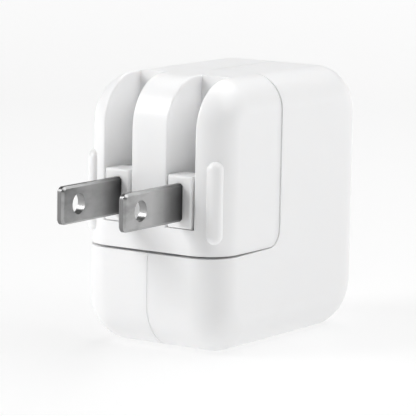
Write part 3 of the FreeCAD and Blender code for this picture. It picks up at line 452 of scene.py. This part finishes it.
def coil_tape(name):
    """Yellow polyester tape wound over the coil, its lap lines showing."""
    paint = Paint(name, (0.75, 0.55, 0.06), 0.22)
    laps = paint.math("SINE", paint.math("MULTIPLY", paint.axes["Z"], TAPE_LAPS))
    edge = paint.between(laps, 0.0, 1.0, 0.85)
    paint.feed(paint.mix(edge, (0.78, 0.58, 0.07), (0.5, 0.36, 0.04)), "Base Color")
    paint.bump(paint.math("ADD", laps, paint.noise(300.0)), 0.25, 0.04 * MM)
    return paint.material


def wound_wire(name, middle, turns):
    """Enamelled copper turns round a ring whose axis is along X, with painted shade in the grooves between
    the turns.
    """
    paint = Paint(name, (0.55, 0.2, 0.07), 0.25, 1.0)
    away_y = paint.math("SUBTRACT", paint.axes["Y"], middle.y)
    away_z = paint.math("SUBTRACT", paint.axes["Z"], middle.z)
    angle = paint.math("ARCTAN2", away_z, away_y)
    wire = paint.math("SINE", paint.math("MULTIPLY", angle, float(turns)))
    groove = paint.between(wire, 0.0, 1.0, -1.0)
    # Painted shade: the colour darkens into the grooves between the turns
    paint.feed(paint.ramp(groove, [(0.0, (0.18, 0.05, 0.02)), (0.5, (0.6, 0.22, 0.08))]), "Base Color")
    paint.bump(groove, 0.8, 0.3 * MM)
    return paint.material


def drum_choke(name, node):
    """Ferrite drum with copper wire on its waist."""
    paint = Paint(name, DRUM_FERRITE, 0.5)
    low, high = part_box(node)
    waist = paint.inside("X", low.x + DRUM_FLANGE, high.x - DRUM_FLANGE)
    wire = paint.math("SINE", paint.math("MULTIPLY", paint.axes["X"], DRUM_TURNS))
    paint.feed(paint.mix(waist, DRUM_FERRITE, DRUM_COPPER), "Base Color")
    paint.feed(waist, "Metallic")
    paint.bump(paint.math("MULTIPLY", wire, waist), 0.6, 0.08 * MM)
    return paint.material


def legged_epoxy(name, node, leg):
    """Black moulded body whose legs, beyond it along Y, are tinned."""
    paint = Paint(name, (0.02, 0.02, 0.022), 0.55)
    low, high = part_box(node)
    body = paint.inside("Y", low.y + leg, high.y - leg)
    grain = paint.noise(EPOXY_GRAIN, 3.0)
    epoxy = paint.ramp(grain, [(0.4, EPOXY_BLACK), (0.65, EPOXY_SPECK)])
    paint.feed(paint.mix(body, TINNED_LEG, epoxy), "Base Color")
    paint.feed(paint.between(body, 1.0, 0.0), "Metallic")
    paint.bump(grain, 0.25, 0.03 * MM)
    return paint.material


# ---------------------------------------------------------------- dressing the CAD nodes

def give(material, *names):
    """Make a material the only one on the CAD nodes named."""
    for name in names:
        slots = NODES[name].data.materials
        slots.clear()
        slots.append(material)


def dress_shells():
    """The outside, and the mouldings that show when the module is off."""
    give(white_plastic("case_white", SHELL_WHITE, 0.31), "case_half_left", "case_half_right")
    give(white_plastic("module_white", SHELL_WHITE, 0.31), "module_shell", "back_cover")
    give(white_plastic("rotor_white", ROTOR_WHITE, 0.34), "prong_rotor")
    give(matte_plastic("inner_white", INNER_WHITE), "inlet_block", "socket_insulator", "rotor_bridge")


def dress_metals():
    """Prongs, contacts, springs and other metal parts."""
    give(nickel_plate(), "prong_left", "prong_right")
    give(turned_metal("stud_steel", (0.62, 0.62, 0.62), 0.33), "module_stud")
    give(rolled_metal("nut_steel", (0.55, 0.55, 0.54), 0.35), "stud_nut")
    give(rolled_metal("brass", (0.75, 0.58, 0.28), 0.32, DRAWN_ALONG_Y), "inlet_pins", "socket_contacts")
    give(rolled_metal("tinned", (0.68, 0.68, 0.67), 0.35), "inlet_lead_live", "inlet_lead_neutral")
    give(rolled_metal("spring_bronze", (0.66, 0.42, 0.22), 0.33), "contact_springs")
    give(rolled_metal("spring_steel", (0.55, 0.55, 0.55), 0.33), "stud_spring", "detent_spring")
    give(rolled_metal("usb_nickel", (0.68, 0.67, 0.65), 0.32, DRAWN_ALONG_Y), "usb_shell")
    give(rolled_metal("gold", (0.85, 0.62, 0.2), 0.17, DRAWN_ALONG_Y), "usb_contacts")
    give(rolled_metal("aluminium", (0.72, 0.72, 0.73), 0.32), "heat_sink", "heat_plate")


def dress_circuit():
    """USB tongue, boards and what is on them."""
    choke_low, choke_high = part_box("choke_core")
    give(matte_plastic("usb_white", USB_WHITE, 0.4), "usb_tongue")
    give(circuit_board("board_green"), "primary_board", "secondary_board")
    give(film_sheet(), "insulating_sheet")
    give(can_sleeve("bulk_sleeve", "bulk_capacitors", "Y", (0.012, 0.014, 0.05), (0.5, 0.52, 0.56)),
         "bulk_capacitors")
    give(can_sleeve("output_sleeve", "output_capacitors", "Z", (0.02, 0.05, 0.03), (0.6, 0.55, 0.3)),
         "output_capacitors")
    give(speckled("ferrite", (0.04, 0.04, 0.042), (0.09, 0.09, 0.095), 0.45),
         "transformer_core", "choke_core")
    give(matte_plastic("bobbin_black", (0.02, 0.02, 0.02)), "transformer_bobbin")
    give(coil_tape("yellow_tape"), "transformer_winding")
    give(wound_wire("choke_copper", (choke_low + choke_high) / 2, CHOKE_TURNS), "choke_windings")
    give(matte_plastic("film_yellow", (0.62, 0.48, 0.06), 0.35), "mains_capacitor")
    give(speckled("ceramic_blue", (0.02, 0.09, 0.3), (0.03, 0.12, 0.36), 0.2, 900.0), "bridging_capacitor")
    give(speckled("fuse_brown", (0.2, 0.09, 0.04), (0.26, 0.12, 0.06), 0.4, 900.0), "fuse")
    give(speckled("epoxy_black", EPOXY_BLACK, EPOXY_SPECK, 0.55, EPOXY_GRAIN),
         "bridge_rectifier", "switch_transistor", "output_rectifier")
    give(legged_epoxy("chip_black", "control_chip", CHIP_LEG), "control_chip")
    give(drum_choke("drum", "output_inductor"), "output_inductor")


def smooth_cad():
    """CAD faces come as separate patches: join them, keep true edges sharp and shade the rest smooth."""
    for node in NODES.values():
        for polygon in node.data.polygons:
            polygon.use_smooth = True
        weld = node.modifiers.new("weld", "WELD")
        weld.merge_threshold = WELD_DISTANCE
        split = node.modifiers.new("split", "EDGE_SPLIT")
        split.split_angle = SHARP_ANGLE
        weighted = node.modifiers.new("weighted", "WEIGHTED_NORMAL")
        weighted.keep_sharp = True
        weighted.weight = LARGE_FACES_RULE


# ---------------------------------------------------------------- build

make_camera()
make_world()
make_floor()
for light in LIGHTS:
    soft_light(*light)
dress_shells()
dress_metals()
dress_circuit()
smooth_cad()
bpy.context.scene.view_settings.view_transform = "Standard"
